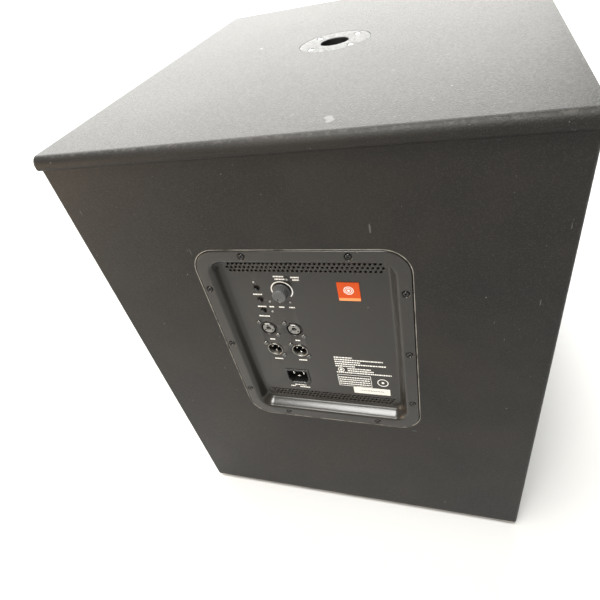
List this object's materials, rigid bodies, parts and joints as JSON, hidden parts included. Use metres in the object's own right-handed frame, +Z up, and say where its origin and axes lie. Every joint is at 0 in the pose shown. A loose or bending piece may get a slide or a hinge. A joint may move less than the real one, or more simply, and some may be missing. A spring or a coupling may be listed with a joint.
{
  "type": "powered subwoofer",
  "caption": "Floor-standing powered subwoofer with a grille front, side handles, a pole socket on top and a recessed amplifier panel with knob, buttons and sockets at the back.",
  "frame": {"origin": "centre of the footprint, on the ground under the rubber feet", "axes": "+Z up, -Y towards the front grille, +Y towards the rear amplifier panel, +X to the right as seen from the front"},
  "size_m": [0.508, 0.594, 0.635],
  "materials": {
    "cabinet_coating": "black textured coating on wood",
    "baffle_paint": "flat black paint on wood",
    "bare_wood": "raw plywood",
    "lining_fibre": "grey fibre wadding",
    "foot_rubber": "matt black rubber",
    "zinc_screws": "bright zinc",
    "handle_plastic": "fine-grained black",
    "handle_grip": "soft black",
    "black_steel": "black powder coat",
    "grille_steel": "black powder coat",
    "grille_foam": "open-cell black foam",
    "port_plastic": "smooth black",
    "basket_metal": "black paint",
    "gasket_foam": "closed-cell foam",
    "surround_cloth": "doped cloth",
    "cone_paper": "pressed paper pulp",
    "dust_cap": "treated paper",
    "spider_cloth": "resin-dipped cotton",
    "former_film": "amber film",
    "coil_copper": "enamelled copper wire",
    "magnet_steel": "zinc-plated steel",
    "ferrite": "ground ferrite",
    "terminal_board": "phenolic board",
    "panel_paint": "satin dark grey paint",
    "chassis_metal": "plain sheet",
    "circuit_board": "green solder mask",
    "heatsink_metal": "extruded",
    "transformer_core": "taped windings",
    "capacitor_sleeve": "shrink sleeve",
    "socket_plastic": "glass-filled black",
    "insert_plastic": "grey",
    "socket_metal": "satin nickel grey",
    "contact_metal": "nickel plate",
    "knob_plastic": "satin grey",
    "shaft_metal": "turned",
    "control_body": "moulded",
    "button_plastic": "semi-gloss black",
    "light_lens": "clear lens",
    "badge_orange": "printed film"
  },
  "bodies": {
    "cabinet": {"top_panel": "cabinet_coating", "bottom_panel": "cabinet_coating", "left_side_panel": "cabinet_coating", "right_side_panel": "cabinet_coating", "back_panel": "cabinet_coating", "front_baffle": "baffle_paint", "window_brace": "bare_wood", "grille_battens": "bare_wood", "damping_lining": "lining_fibre", "rubber_feet": "foot_rubber", "foot_screws": "zinc_screws", "handle_screws": "zinc_screws", "pole_socket_screws": "zinc_screws", "socket_screws": "zinc_screws", "left_handle_cup": "handle_plastic", "right_handle_cup": "handle_plastic", "handle_bars": "handle_grip", "pole_socket": "black_steel", "grille_screws": "black_steel", "woofer_screws": "black_steel", "amp_screws": "black_steel", "grille": "grille_steel", "grille_foam": "grille_foam", "left_port_tube": "port_plastic", "right_port_tube": "port_plastic", "woofer_basket": "basket_metal", "woofer_gasket": "gasket_foam", "amp_gasket": "gasket_foam", "woofer_surround": "surround_cloth", "woofer_spider": "spider_cloth", "magnet_front_plate": "magnet_steel", "magnet_pole_yoke": "magnet_steel", "magnet_ring": "ferrite", "woofer_terminals": "terminal_board", "amp_plate": "panel_paint", "amp_housing": "chassis_metal", "input_board": "circuit_board", "power_board": "circuit_board", "heatsink": "heatsink_metal", "transformer": "transformer_core", "capacitors": "capacitor_sleeve", "combo_sockets": "socket_plastic", "mains_inlet": "socket_plastic", "combo_inserts": "insert_plastic", "output_sockets": "socket_metal", "output_pins": "contact_metal", "mains_pins": "contact_metal", "volume_control": "control_body", "button_switches": "control_body", "status_lights": "light_lens", "panel_badge": "badge_orange"},
    "cone_assembly": {"woofer_cone": "cone_paper", "woofer_dust_cap": "dust_cap", "coil_former": "former_film", "voice_coil": "coil_copper"},
    "knob_assembly": {"volume_knob": "knob_plastic", "knob_shaft": "shaft_metal"},
    "power_key": {"power_button": "button_plastic"},
    "crossover_key": {"crossover_button": "button_plastic"},
    "polarity_key": {"polarity_button": "button_plastic"}
  },
  "joints": [
    {"name": "cone_stroke", "type": "slide", "parent": "cabinet", "child": "cone_assembly", "axis": [0, -1, 0], "range_m": [-0.008, 0.008], "stiffness_N_per_m": 5000, "deforming": ["woofer_surround", "woofer_spider"]},
    {"name": "volume_turn", "type": "hinge", "parent": "cabinet", "child": "knob_assembly", "pos_m": [0.0293, 0.279, 0.4516], "axis": [0, -1, 0], "range_deg": [0, 300]},
    {"name": "power_press", "type": "slide", "parent": "cabinet", "child": "power_key", "axis": [0, -1, 0], "range_m": [0, 0.0015], "stiffness_N_per_m": 150},
    {"name": "crossover_press", "type": "slide", "parent": "cabinet", "child": "crossover_key", "axis": [0, -1, 0], "range_m": [0, 0.0015], "stiffness_N_per_m": 150},
    {"name": "polarity_press", "type": "slide", "parent": "cabinet", "child": "polarity_key", "axis": [0, -1, 0], "range_m": [0, 0.0015], "stiffness_N_per_m": 150}
  ]
}
